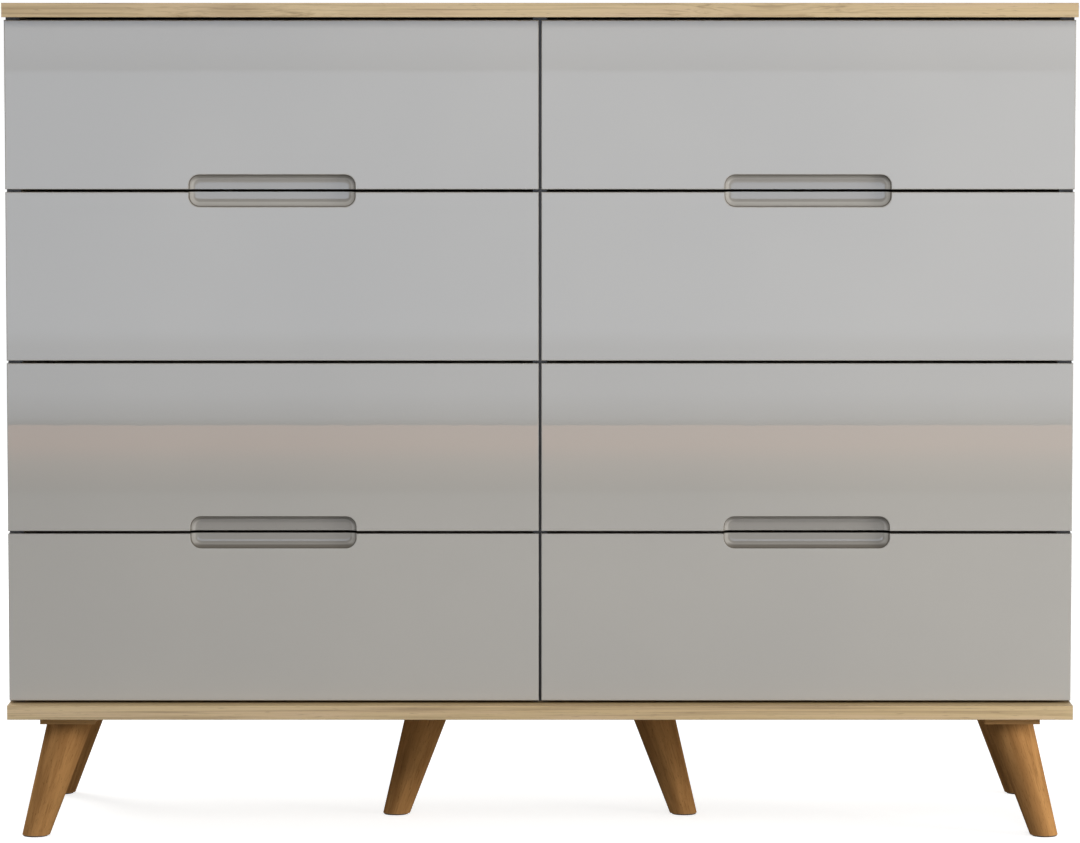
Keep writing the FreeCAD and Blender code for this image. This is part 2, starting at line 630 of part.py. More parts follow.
def make_drawer(side, sign, row_number, row, rails):
    """One drawer: front, box of three boards, base board, and its runners' drawer and middle rails."""
    name = f"drawer_{side}_{row}"
    front_z = f"({FLOOR_Z} + gap + {row_number} * (front_height + gap))"
    box_z = f"({front_z} + box_lift)"
    box_near = "(board / 2 + runner_space)"
    box_x = f"({mirrored(sign, box_near, BOX_WIDTH)})"
    box_y = f"({FRONT_FACE} + board)"
    front_x = f"({mirrored(sign, 'gap / 2', FRONT_WIDTH)})"
    base_inset = "(box_board - base_groove + groove_play)"
    base_width = f"({BOX_WIDTH} - 2 * {base_inset})"

    front = make_front(f"{name}_front", GRIP_AT_TOP[row])
    groove_x = f"({box_x} - {front_x} + box_board - base_groove)"
    groove_front(front, groove_x, f"({base_width} + 2 * groove_play)")
    place(front, front_x, FRONT_FACE, front_z)
    keep(front, f"{name}_front")

    box = document.addObject("Part::Compound", f"{name}_box")
    box.Links = make_box_boards(f"{name}_board")
    place(box, box_x, box_y, box_z)
    keep(box, f"{name}_box")

    base = document.addObject("Part::Box", f"{name}_base")
    bind(base, "Length", base_width)
    bind(base, "Width", f"box_length - {base_inset} - {BASE_Y}")
    bind(base, "Height", "base_thickness")
    place(base, f"{box_x} + {base_inset}", f"{box_y} + {BASE_Y}", f"{box_z} + base_lift")
    keep(base, f"{name}_base")

    rail_front = f"({UPRIGHT_FRONT} + rail_setback)"
    rail_rear = f"({rail_front} + rail_length)"
    rail_z = f"({box_z} + runner_lift)"
    left_wall = f"({box_x} - runner_space)"
    right_wall = f"({box_x} + {BOX_WIDTH} + runner_space)"
    copies(f"{name}_rails", rails["drawer"], [
        (f"{left_wall} + runner_space", rail_rear, rail_z, HALF_TURN),
        (f"{right_wall} - runner_space", rail_front, rail_z, UNTURNED),
    ])
    copies(f"middle_rails_{side}_{row}", rails["middle"], [
        (f"{left_wall} + middle_rail_offset", rail_front, rail_z, UNTURNED),
        (f"{right_wall} - middle_rail_offset", rail_rear, rail_z, HALF_TURN),
    ])
    return [(left_wall, rail_front, rail_z, UNTURNED), (right_wall, rail_rear, rail_z, HALF_TURN)]


def make_drawers():
    rails = {
        kind: make_rail(f"{kind}_rail", f"{kind}_rail_width", f"{kind}_rail_height")
        for kind in ("cabinet", "middle", "drawer")
    }
    cabinet_places = []
    for side, sign in SIDES:
        for row_number, row in enumerate(ROWS):
            cabinet_places += make_drawer(side, sign, row_number, row, rails)
    copies("cabinet_rails", rails["cabinet"], cabinet_places)


def check_and_export():
    """Stops at any failed object, then writes each sub-part to its own file."""
    document.recompute()
    for item in document.Objects:
        if "Invalid" in item.State or "Error" in item.State:
            raise RuntimeError(f"{item.Name} failed: {item.State}")
    for item in subparts:
        if item.Shape.isNull() or not item.Shape.isValid():
            raise RuntimeError(f"{item.Label} has no valid shape")
    os.makedirs("parts", exist_ok=True)
    for item in subparts:
        item.Shape.exportStep(f"parts/{item.Label}.step")
    print(f"{len(subparts)} sub-parts written")


fill_sheet()
make_panels()
make_uprights()
make_back_panels()
make_fittings()
make_legs()
make_leg_fixings()
make_drawers()
check_and_export()
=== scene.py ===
"""The looks of the chest of eight drawers: materials, small fittings, studio and camera.

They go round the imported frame. Lengths are in metres in the row frame: X to the right, Y to the back and
Z up, with the origin on the floor under the centre.
"""

import math
from collections import namedtuple

import bmesh
import bpy
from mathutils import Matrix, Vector


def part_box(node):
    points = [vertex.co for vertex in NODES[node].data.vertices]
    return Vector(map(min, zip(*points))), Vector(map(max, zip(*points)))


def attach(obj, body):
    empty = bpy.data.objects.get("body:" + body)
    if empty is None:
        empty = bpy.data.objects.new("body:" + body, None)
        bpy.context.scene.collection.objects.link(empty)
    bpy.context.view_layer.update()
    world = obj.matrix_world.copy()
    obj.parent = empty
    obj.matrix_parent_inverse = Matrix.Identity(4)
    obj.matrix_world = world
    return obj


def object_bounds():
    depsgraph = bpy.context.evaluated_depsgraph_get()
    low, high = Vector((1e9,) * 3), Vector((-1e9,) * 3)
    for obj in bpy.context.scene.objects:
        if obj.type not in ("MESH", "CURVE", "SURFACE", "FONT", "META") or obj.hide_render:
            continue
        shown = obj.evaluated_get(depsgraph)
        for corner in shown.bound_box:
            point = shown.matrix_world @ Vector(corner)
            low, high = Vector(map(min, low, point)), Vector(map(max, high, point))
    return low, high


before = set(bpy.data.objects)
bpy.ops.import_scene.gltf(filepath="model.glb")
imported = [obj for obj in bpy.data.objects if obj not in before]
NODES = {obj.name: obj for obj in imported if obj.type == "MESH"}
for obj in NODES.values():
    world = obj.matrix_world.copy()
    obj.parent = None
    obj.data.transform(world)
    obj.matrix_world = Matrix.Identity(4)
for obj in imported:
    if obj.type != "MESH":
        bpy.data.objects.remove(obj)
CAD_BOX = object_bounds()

SIDES = ("left", "right")
ROWS = ("bottom", "lower", "upper", "top")
ALONG = {"x": 0, "y": 1, "z": 2}
LEG_SPLAY = math.radians(17)
WHITE = (1.0, 1.0, 1.0, 1.0)
BLACK = (0.0, 0.0, 0.0, 1.0)
# Painted shade: the near-black brown on the uprights' front edges, which lie in shade behind the joints
# between the fronts.
GAP_SHADE_BROWN = (0.016, 0.011, 0.008, 1.0)

# The grip recesses: their size, and the share of painted shade that darkens the lacquer on their rim,
# rounds and floor, with more painted shade on the lower pair of grips and on its lip, the band between
# two distances below the joint.
GRIP_WIDTH, GRIP_HEIGHT = 0.187, 0.036
RIM_SHADE, ROUND_SHADE, FLOOR_SHADE, LOW_SHADE, LIP_SHADE = 0.82, 0.13, 0.18, 0.10, 0.50
LIP_TOP, LIP_BOTTOM = 0.011, 0.016
# The warm brown that the painted shade in the grip recesses blends towards.
PAINTED_SHADE_BROWN = (0.045, 0.03, 0.012, 1.0)

# The runners: the space between upright and drawer, and the cages with their balls. A cage starts at a
# distance from the middle rail's front end (FRONT_CAGE) or rear end (REAR_CAGE). Its web, the reach of its
# flanges and the gap to its balls are distances from the upright. The balls lie a lift above and below the
# middle of the rails.
RUNNER_SPACE, BOX_WALL = 0.013, 0.012
CAGE_LENGTH, CAGE_SHEET, CAGE_NOTCH, BALLS = 0.130, 0.0005, 0.006, 8
Cage = namedtuple("Cage", "start web reach gap lift radius")
FRONT_CAGE = Cage(start=0.009, web=0.0046, reach=0.0094, gap=0.0072, lift=0.01465, radius=0.0021)
REAR_CAGE = Cage(start=-0.141, web=0.00165, reach=0.0078, gap=0.0056, lift=0.01965, radius=0.0016)
LEVER_NEAR, LEVER_FAR, PIN_NEAR, PIN_PLACE = 0.0078, 0.0102, 0.0075, 0.058
SCREW_SEAT, SCREW_PLACES = 0.0118, (0.085, 0.135, 0.260)

# Outlines and turned profiles. The lever's outline is in mm, the profiles are (radius, height) in metres.
LEVER = [(8, -2), (10, 4), (16, 6.5), (24, 5.5), (40, 2.5), (60, 2), (62, 0), (60, -2), (40, -1.5)]
LEVER += [(26, -3.5), (20, -8.5), (12, -9), (9, -6)]
PIN = [(0.0036, 0), (0.0040, 0.0004), (0.0040, 0.0042)]
PAN_HEAD = [(0.0037, 0), (0.0037, 0.0008), (0.0032, 0.0017), (0.0022, 0.0021), (0.0013, 0.0021)]
PAN_HEAD += [(0.0007, 0.0011)]
COVER_CAP = [(0.0086, 0), (0.0086, 0.0006), (0.0080, 0.0011), (0.0034, 0.0011), (0.0028, 0.0007)]
COVER_CAP += [(0.0006, 0.0007)]
BUMPER = [(0.0027, 0), (0.0027, 0.0009), (0.0022, 0.0014), (0.0012, 0.0016)]
CAP_SETBACK, CAP_LIFTS = 0.034, (0.035, 0.100)
BUMPER_INSET, BUMPER_OFF_MIDDLE = 0.014, 0.0049

# The studio. The light wall stands in front of the dresser, with a warm strip of floor at its foot. A wall
# level is (share of the height, brightness), and a warm step is (share of the depth, colour).
REACH, BACKDROP_HEIGHT, FLOOR_GLOW = 40.0, 60.0, 0.74
SKY_ABOVE, SKY_BELOW = 0.50, 0.12
WALL_DISTANCE, WALL_WIDTH, WALL_HEIGHT, WALL_LIGHT = 5.4, 4.6, 1.5, 3.66
WALL_TINT = (0.784, 0.862, 1.0)
WALL_LEVELS = ((0, 0.20), (0.012, 0.48), (0.05, 0.74), (0.12, 0.76), (0.145, 0.94), (0.532, 0.94))
WALL_LEVELS += ((0.537, 0.74), (0.61, 1.0), (1, 1.0))
WARM_DEPTH, WARM_LIFT, WARM_LIGHT = 1.5, 0.002, 2.3
WARM_STEPS = [(0, (1.0, 0.71, 0.63)), (0.33, (1.0, 0.70, 0.60)), (0.62, (0.66, 0.57, 0.53))]
WARM_STEPS += [(1, (0.41, 0.41, 0.41))]

# The camera.
CAMERA_DISTANCE, CAMERA_DROP, CAMERA_PITCH = 5.336, 0.010, math.radians(4.256)
LENS, SENSOR, LENS_SHIFT = 159.29, 36.0, -0.05


# ---------------------------------------------------------------- shader building blocks


class Surface:
    """A Principled material being built; numbers that are the same everywhere sit on the shader's sockets."""

    def __init__(self, name, **constants):
        self.material = bpy.data.materials.new(name)
        self.material.use_nodes = True
        self.tree = self.material.node_tree
        self.shader = self.tree.nodes["Principled BSDF"]
        for socket, value in constants.items():
            self.shader.inputs[socket.replace("_", " ")].default_value = value

    def node(self, kind, inputs=(), **settings):
        """A node with its settings; each input is a (name, value or socket) pair."""
        made = self.tree.nodes.new(kind)
        for setting, value in settings.items():
            setattr(made, setting, value)
        for socket, value in inputs:
            if isinstance(value, bpy.types.NodeSocket):
                self.tree.links.new(value, made.inputs[socket])
            else:
                made.inputs[socket].default_value = value
        return made

    def place(self, scale=(1, 1, 1), turn=(0, 0, 0), shift=(0, 0, 0)):
        """The point on the object in metres, turned and then scaled."""
        point = self.node("ShaderNodeTexCoord").outputs["Object"]
        turned = self.node("ShaderNodeMapping", [("Vector", point), ("Rotation", turn)])
        point = turned.outputs[0]
        scaled = self.node("ShaderNodeMapping", [("Vector", point), ("Scale", scale), ("Location", shift)])
        return scaled.outputs[0]

    def noise(self, point, detail, roughness=0.5, distortion=0.0):
        inputs = [("Vector", point), ("Scale", 1.0), ("Detail", detail)]
        inputs += [("Roughness", roughness), ("Distortion", distortion)]
        return self.node("ShaderNodeTexNoise", inputs).outputs[0]

    def spots(self, point):
        """The distance to the nearest of many scattered points."""
        return self.node("ShaderNodeTexVoronoi", [("Vector", point), ("Scale", 1.0)]).outputs["Distance"]

    def rescale(self, value, low, high, to_low=0.0, to_high=1.0):
        inputs = [("Value", value), ("From Min", low), ("From Max", high)]
        inputs += [("To Min", to_low), ("To Max", to_high)]
        return self.node("ShaderNodeMapRange", inputs, interpolation_type="SMOOTHSTEP").outputs[0]

    def math(self, operation, first, second):
        return self.node("ShaderNodeMath", [(0, first), (1, second)], operation=operation).outputs[0]

    def push(self, point, amount, direction):
        """The point moved by an amount along a direction."""
        step = self.node("ShaderNodeVectorMath", [(0, direction), ("Scale", amount)], operation="SCALE")
        moved = [(0, point), (1, step.outputs[0])]
        return self.node("ShaderNodeVectorMath", moved, operation="ADD").outputs[0]

    def blend(self, factor, first, second, mode="MIX"):
        inputs = [(0, factor), (6, first), (7, second)]
        made = self.node("ShaderNodeMix", (), data_type="RGBA", blend_type=mode)
        for index, value in inputs:
            if isinstance(value, bpy.types.NodeSocket):
                self.tree.links.new(value, made.inputs[index])
            else:
                made.inputs[index].default_value = value
        return made.outputs[2]

    def bump(self, height, distance, socket="Normal"):
        normal = self.node("ShaderNodeBump", [("Height", height), ("Distance", distance)])
        self.feed(socket, normal.outputs[0])

    def feed(self, socket, value):
        self.tree.links.new(value, self.shader.inputs[socket])


def stretched(axis, along, across):
    """Scales that draw a pattern out along one axis."""
    scale = [across] * 3
    scale[ALONG[axis]] = along
    return scale


# ---------------------------------------------------------------- materials


def gap_shade_band(surface):
    """1 on the front edges of the uprights, right behind the joints between the fronts, where painted shade
    goes.
    """
    y = surface.node("ShaderNodeSeparateXYZ", [(0, surface.place())]).outputs["Y"]
    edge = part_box("centre_divider")[0].y
    return surface.rescale(y, edge + 0.0010, edge + 0.0006)


def oak_decor(name, axis, shift):
    """Matt oak decor: soft bands, fine growth lines that bend round small knots, and short dark pores."""
    oak = Surface(name, Specular_IOR_Level=0.5)
    light, tan, line = (0.66, 0.50, 0.275, 1), (0.54, 0.385, 0.19, 1), (0.26, 0.17, 0.075, 1)
    rosy = (0.60, 0.425, 0.25, 1)
    pore, knot = (0.20, 0.125, 0.06, 1), (0.20, 0.12, 0.055, 1)
    knots = oak.spots(oak.place(stretched(axis, 2.1, 6.5), shift=shift))
    near_knot = oak.rescale(knots, 0.30, 0.05)
    bands = oak.noise(oak.place(stretched(axis, 1.1, 16), shift=shift), detail=4)
    bent = oak.push(oak.place(stretched(axis, 2.6, 240), shift=shift), near_knot, (2.2, 2.2, 2.2))
    lines = oak.noise(bent, detail=5, roughness=0.62, distortion=0.6)
    pores = oak.noise(oak.place(stretched(axis, 55, 1300), shift=shift), detail=2)
    patches = oak.noise(oak.place(stretched(axis, 4.5, 70), shift=shift), detail=3)
    streaks = oak.noise(oak.place(stretched(axis, 7, 620), shift=shift), detail=2, roughness=0.6)
    colour = oak.blend(oak.rescale(bands, 0.3, 0.7), light, tan)
    colour = oak.blend(oak.rescale(patches, 0.45, 0.7, 0, 0.7), colour, rosy)
    colour = oak.blend(oak.rescale(streaks, 0.5, 0.8, 0, 0.5), colour, line)
    colour = oak.blend(oak.rescale(lines, 0.46, 0.74, 0, 0.75), colour, line)
    colour = oak.blend(oak.rescale(pores, 0.62, 0.72, 0, 0.55), colour, pore)
    colour = oak.blend(oak.rescale(knots, 0.16, 0.02, 0, 0.45), colour, line)
    colour = oak.blend(oak.rescale(knots, 0.06, 0.03, 0, 0.5), colour, knot)
    # Painted shade: standing boards turn near-black on their front edges behind the joints between the
    # fronts.
    if axis == "z":
        colour = oak.blend(gap_shade_band(oak), colour, GAP_SHADE_BROWN)
    oak.feed("Base Color", colour)
    oak.feed("Roughness", oak.rescale(lines, 0.3, 0.75, 0.30, 0.48))
    oak.bump(oak.math("ADD", lines, pores), 0.00012)
    return oak.material


def inside(surface, value, centre, half):
    """1 where the value lies within half of the centre, and 0 further away."""
    edge = 0.0008
    away = surface.math("ABSOLUTE", surface.math("SUBTRACT", value, centre), 0.0)
    return surface.rescale(away, half + edge, half)


def grip_places():
    """How far the grips' centres are from the middle, and the levels of the two joints that they sit on."""
    low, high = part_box("drawer_right_top_front")
    levels = []
    for under, over in (("bottom", "lower"), ("upper", "top")):
        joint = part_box(f"drawer_right_{under}_front")[1].z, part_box(f"drawer_right_{over}_front")[0].z
        levels.append(sum(joint) / 2)
    return (low.x + high.x) / 2, levels


def painted_grip_shade(surface):
    """1 on the rounds of the grip recesses, for a painted light, and the share of painted shade in the
    recesses.
    """
    x, y, z = surface.node("ShaderNodeSeparateXYZ", [(0, surface.place())]).outputs
    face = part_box("drawer_left_top_front")[0].y
    centre, (low_level, high_level) = grip_places()

    def behind_face(near, far, amount=1.0):
        return surface.rescale(y, face + near, face + far, 0, amount)

    # Painted shade: the lacquer darkens on the rim, rounds and floor of the recesses, and more on the lower
    # pair and its lip.
    rim = behind_face(0.0072, 0.0050, RIM_SHADE)
    rounds, bottom = behind_face(0.0005, 0.002, ROUND_SHADE), behind_face(0.0098, 0.0106, FLOOR_SHADE)
    between = (low_level + high_level) / 2
    low_pair = surface.rescale(z, between, between - 0.1, 0, LOW_SHADE)
    low_lip = surface.rescale(z, low_level - LIP_TOP, low_level - LIP_BOTTOM, 0, LIP_SHADE)
    tone = surface.math("ADD", surface.math("ADD", rounds, bottom), surface.math("ADD", low_pair, low_lip))
    across = inside(surface, surface.math("ABSOLUTE", x, 0.0), centre, GRIP_WIDTH / 2)
    levels = [inside(surface, z, level, GRIP_HEIGHT / 2) for level in (low_level, high_level)]
    window = surface.math("MULTIPLY", across, surface.math("MAXIMUM", *levels))
    recess = surface.math("MULTIPLY", behind_face(0.0004, 0.0012), window)
    # Painted light: the rounds of the recesses, which get a paler grey.
    painted_light_rounds = surface.math("MULTIPLY", behind_face(0.0106, 0.0096), recess)
    return painted_light_rounds, surface.math("MULTIPLY", surface.math("MAXIMUM", rim, tone), recess)


def gloss_lacquer():
    """High-gloss light grey lacquer: a clear coat with the faint waviness of sprayed paint."""
    coat = {"Coat_Weight": 1.0, "Coat_Roughness": 0.006, "Coat_IOR": 1.6}
    lacquer = Surface("front_lacquer", Specular_IOR_Level=0.1, **coat)
    warm, cool = (0.407, 0.384, 0.347, 1), (0.390, 0.370, 0.338, 1)
    # Painted light: a paler grey on the rounds of the grip recesses, in place of their reflections.
    painted_light_grey = (0.49, 0.465, 0.425, 1)
    clouds = lacquer.noise(lacquer.place((3, 3, 3)), detail=3)
    specks = lacquer.noise(lacquer.place((900, 900, 900)), detail=1)
    colour = lacquer.blend(lacquer.rescale(clouds, 0.3, 0.7), warm, cool)
    colour = lacquer.blend(lacquer.rescale(specks, 0.66, 0.8, 0, 0.12), colour, BLACK)
    # Painted shade and painted light in the grip recesses, blended into the lacquer's colour.
    painted_light_rounds, darker = painted_grip_shade(lacquer)
    colour = lacquer.blend(painted_light_rounds, colour, painted_light_grey)
    lacquer.feed("Base Color", lacquer.blend(darker, colour, PAINTED_SHADE_BROWN))
    lacquer.feed("Roughness", lacquer.rescale(clouds, 0.3, 0.7, 0.38, 0.5))
    waves = lacquer.noise(lacquer.place((28, 28, 9)), detail=2)
    lacquer.bump(waves, 0.000015, "Coat Normal")
    return lacquer.material


def stained_beech(name, turn, light, dark, roughness):
    """Matt beech under a brown stain: long streaks, fine grain and the short flecks of beech rays."""
    wood = Surface(name, Specular_IOR_Level=0.0)
    streaks = wood.noise(wood.place((95, 95, 5), turn), detail=6, roughness=0.6, distortion=0.5)
    fine = wood.noise(wood.place((620, 620, 18), turn), detail=3, roughness=0.6)
    flecks = wood.noise(wood.place((900, 900, 160), turn), detail=1)
    clouds = wood.noise(wood.place((14, 14, 9), turn), detail=2)
    colour = wood.blend(wood.rescale(streaks, 0.28, 0.72), light, dark)
    shade = tuple(0.45 * c for c in dark[:3]) + (1,)
    colour = wood.blend(wood.rescale(fine, 0.5, 0.75, 0, 0.45), colour, shade)
    colour = wood.blend(wood.rescale(flecks, 0.62, 0.76, 0, 0.5), colour, shade)
    colour = wood.blend(wood.rescale(clouds, 0.35, 0.7, 0, 0.22), colour, shade)
    wood.feed("Base Color", colour)
    wood.feed("Roughness", wood.rescale(fine, 0.3, 0.7, roughness - 0.06, roughness + 0.1))
    wood.bump(fine, 0.00008)
    return wood.material


def hardboard(name, face, fibre, grain):
    """Thin hardboard with a printed face: fine fibres and a little mottling."""
    board = Surface(name, Roughness=0.55, Specular_IOR_Level=0.3)
    fibres = board.noise(board.place((420, 420, 420)), detail=4, roughness=0.7)
    mottle = board.noise(board.place(grain), detail=4, roughness=0.6)
    colour = board.blend(board.rescale(mottle, 0.3, 0.75, 0, 0.6), face, fibre)
    colour = board.blend(board.rescale(fibres, 0.55, 0.8, 0, 0.35), colour, fibre)
    board.feed("Base Color", colour)
    board.feed("Roughness", board.rescale(fibres, 0.3, 0.7, 0.48, 0.62))
    board.bump(fibres, 0.00006)
    return board.material


def foil_board():
    """Satin light grey foil with the fine woven print that drawer boards have."""
    foil = Surface("box_board", Roughness=0.42, Specular_IOR_Level=0.45)
    pale, grey = (0.62, 0.61, 0.585, 1), (0.54, 0.53, 0.505, 1)
    along = foil.noise(foil.place((12, 12, 900)), detail=2)
    up = foil.noise(foil.place((700, 700, 30)), detail=2)
    weave = foil.math("MULTIPLY", along, up)
    clouds = foil.noise(foil.place((5, 5, 5)), detail=3)
    colour = foil.blend(foil.rescale(weave, 0.15, 0.38), pale, grey)
    foil.feed("Base Color", foil.blend(foil.rescale(clouds, 0.3, 0.8, 0, 0.18), colour, grey))
    foil.feed("Roughness", foil.rescale(weave, 0.15, 0.4, 0.36, 0.5))
    foil.bump(weave, 0.00005)
    return foil.material


def metal(name, bright, dull, roughness, brush):
    """Zinc: rolled or cast, with a cloudy tone and fine marks along the strip."""
    zinc = Surface(name, Metallic=1.0, Roughness=roughness)
    clouds = zinc.noise(zinc.place((60, 60, 60)), detail=4, roughness=0.6)
    marks = zinc.noise(zinc.place(brush), detail=3, roughness=0.7)
    colour = zinc.blend(zinc.rescale(clouds, 0.25, 0.85, 0, 0.5), bright, dull)
    zinc.feed("Base Color", zinc.blend(zinc.rescale(marks, 0.5, 0.8, 0, 0.3), colour, dull))
    zinc.feed("Roughness", zinc.rescale(marks, 0.3, 0.75, roughness - 0.08, roughness + 0.14))
    zinc.bump(marks, 0.00004)
    return zinc.material


def moulded_plastic(name, colour, roughness):
    """Matt moulded plastic with a fine spark texture and paler rubbed patches."""
    plastic = Surface(name, Roughness=roughness)
    rubbed = tuple(min(1, 1.6 * c + 0.01) for c in colour[:3]) + (1,)
    spark = plastic.noise(plastic.place((2400, 2400, 2400)), detail=2)
    patches = plastic.noise(plastic.place((160, 160, 160)), detail=3)
    plastic.feed("Base Color", plastic.blend(plastic.rescale(patches, 0.5, 0.8, 0, 0.5), colour, rubbed))
    plastic.feed("Roughness", plastic.rescale(spark, 0.3, 0.7, roughness - 0.1, roughness + 0.1))
    plastic.bump(spark, 0.00003)
    return plastic.material


def paint(node, material):
    """Puts one material on a whole CAD node."""
    slots = NODES[node].data.materials
    slots.clear()
    slots.append(material)


def leg_wood(name, lean):
    """The legs' brown, with the grain turned to run up a leg that leans by the given sign."""
    light, dark = (0.560, 0.290, 0.104, 1), (0.375, 0.180, 0.061, 1)
    return stained_beech(name, (0, lean * LEG_SPLAY, 0), light, dark, 0.46)


def paint_frame():
    """Gives every CAD node its finished material."""
    oak_lying = oak_decor("oak_board_lying", "x", (0.3, 0.1, 0.2))
    oak_standing = oak_decor("oak_board_standing", "z", (0.7, 0.4, 0.9))
    zinc = metal("zinc_steel", (0.72, 0.73, 0.74, 1), (0.50, 0.51, 0.53, 1), 0.34, (1200, 25, 1200))
    for board in ("top_panel", "bottom_panel"):
        paint(board, oak_lying)
    for board in ("left_side_panel", "right_side_panel", "centre_divider"):
        paint(board, oak_standing)
    backing = hardboard("back_board", (0.58, 0.465, 0.30, 1), (0.42, 0.31, 0.18, 1), (90, 90, 1.6))
    paint("back_panel_left", backing)
    paint("back_panel_right", backing)
    for side, lean in zip(SIDES, (-1, 1)):
        wood = leg_wood("leg_beech_" + side, lean)
        for place in ("front", "middle", "back"):
            paint(f"leg_{place}_{side}", wood)
    plate_light, plate_dark = (0.74, 0.44, 0.19, 1), (0.54, 0.30, 0.12, 1)
    along_x = (0, math.pi / 2, 0)
    paint("leg_plates", stained_beech("leg_plate_wood", along_x, plate_light, plate_dark, 0.45))
    paint("leg_glides", moulded_plastic("glide_plastic", (0.06, 0.045, 0.033, 1), 0.55))
    raw_light, raw_dark = (0.60, 0.44, 0.28, 1), (0.48, 0.33, 0.19, 1)
    paint("dowels", stained_beech("beech_dowel", (0, 0, 0), raw_light, raw_dark, 0.6))
    casting = metal("zinc_casting", (0.60, 0.61, 0.62, 1), (0.40, 0.41, 0.43, 1), 0.42, (300, 300, 300))
    paint("cam_locks", casting)
    for fitting in ("leg_plate_screws", "cabinet_rails", "cam_bolts"):
        paint(fitting, zinc)
    lacquer, foil = gloss_lacquer(), foil_board()
    base = hardboard("base_board", (0.66, 0.65, 0.625, 1), (0.55, 0.535, 0.50, 1), (7, 7, 7))
    for side in SIDES:
        for row in ROWS:
            paint(f"drawer_{side}_{row}_front", lacquer)
            paint(f"drawer_{side}_{row}_box", foil)
            paint(f"drawer_{side}_{row}_base", base)
            paint(f"drawer_{side}_{row}_rails", zinc)
            paint(f"middle_rails_{side}_{row}", zinc)


# ---------------------------------------------------------------- small fittings on the runners and drawers


def mesh_object(name, points, faces, material):
    mesh = bpy.data.meshes.new(name)
    mesh.from_pydata(points, [], faces)
    mesh.materials.append(material)
    made = bpy.data.objects.new(name, mesh)
    bpy.context.scene.collection.objects.link(made)
    return made


class Solids:
    """Small solids in one mesh. A point is (u, y, z), with u the distance along X from the wall last set."""

    def __init__(self):
        self.points, self.faces = [], []
        self.wall, self.sense = 0.0, 1

    def against(self, wall, sense):
        self.wall, self.sense = wall, sense

    def add(self, points, faces):
        first = len(self.points)
        self.points += [(self.wall + self.sense * u, y, z) for u, y, z in points]
        self.faces += [[first + i for i in face] for face in faces]

    def prism(self, outline, near, far):
        """An outline of (y, z) points between two distances from the wall."""
        count = len(outline)
        sides = [(i, (i + 1) % count, count + (i + 1) % count, count + i) for i in range(count)]
        ends = [list(range(count)), list(range(count, 2 * count))]
        self.add([(u, y, z) for u in (near, far) for y, z in outline], sides + ends)

    def turned(self, centre, axis, profile, sides):
        """A profile of (radius, height) points turned round an axis through the centre."""
        axis = ALONG[axis]
        across = [i for i in range(3) if i != axis]
        points = []
        for radius, height in profile:
            for step in range(sides):
                point = list(centre)
                point[axis] += height
                point[across[0]] += radius * math.cos(2 * math.pi * step / sides)
                point[across[1]] += radius * math.sin(2 * math.pi * step / sides)
                points.append(point)
        faces = [list(range(sides)), list(range(len(points) - sides, len(points)))]
        for ring in range(len(profile) - 1):
            for i in range(sides):
                here, after = ring * sides + i, ring * sides + (i + 1) % sides
                faces.append((here, after, after + sides, here + sides))
        self.add(points, faces)

    def piece(self, name, body, material, slot, smooth=False):
        """The finished piece, riding on its body."""
        made = mesh_object(name, self.points, self.faces, material)
        shape = bmesh.new()
        shape.from_mesh(made.data)
        bmesh.ops.recalc_face_normals(shape, faces=shape.faces)
        shape.to_mesh(made.data)
        shape.free()
        for face in made.data.polygons:
            face.use_smooth = smooth
        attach(made, body)


def rectangle(y0, y1, z, half):
    """The outline of a strip round a level."""
    return [(y0, z - half), (y1, z - half), (y1, z + half), (y0, z + half)]


def sphere(radius):
    """The profile of a ball, with small flats instead of points at its poles."""
    steps, flat = 6, 0.15
    angles = [math.pi * (step + flat) / (steps + 2 * flat) for step in range(steps + 1)]
    return [(radius * math.sin(angle), -radius * math.cos(angle)) for angle in angles]


def runner_places(side, row):
    """A drawer's two runners: (face of the upright, sense towards the drawer), middle height, both ends."""
    low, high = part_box(f"drawer_{side}_{row}_box")
    rail_low, rail_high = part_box(f"middle_rails_{side}_{row}")
    walls = ((low.x - RUNNER_SPACE, 1), (high.x + RUNNER_SPACE, -1))
    return walls, (rail_low.z + rail_high.z) / 2, rail_low.y, rail_high.y


def caged_balls(cages, balls, start, middle, cage):
    """One cage, a notched web with a flange above and below, and the two rows of balls that it holds."""
    end, half = start + CAGE_LENGTH, cage.lift + CAGE_SHEET / 2
    outline = [(start, -half), (end, -half), (end, half), (start, half)]
    outline += [(start + CAGE_NOTCH, 0.4 * half), (start + CAGE_NOTCH, -0.4 * half)]
    cages.prism([(y, middle + z) for y, z in outline], cage.web, cage.web + CAGE_SHEET)
    for level in (middle - cage.lift, middle + cage.lift):
        cages.prism(rectangle(start, end, level, CAGE_SHEET / 2), cage.web, cage.reach)
        for step in range(BALLS):
            y = start + CAGE_LENGTH * (step + 0.5) / BALLS
            balls.turned((cage.gap, y, level), "z", sphere(cage.radius), sides=10)


def ball_cages(side, row, plastic, steel):
    """The caged balls between the three rails of both runners of a drawer, front and rear."""
    walls, middle, front, rear = runner_places(side, row)
    cages, balls = Solids(), Solids()
    for wall in walls:
        cages.against(*wall)
        balls.against(*wall)
        caged_balls(cages, balls, front + FRONT_CAGE.start, middle, FRONT_CAGE)
        caged_balls(cages, balls, rear + REAR_CAGE.start, middle, REAR_CAGE)
    body = f"middle_rails_{side}_{row}_pair"
    cages.piece(f"ball_cages_{side}_{row}", body, plastic, "glide_plastic")
    balls.piece(f"balls_{side}_{row}", body, steel, "zinc_steel", smooth=True)


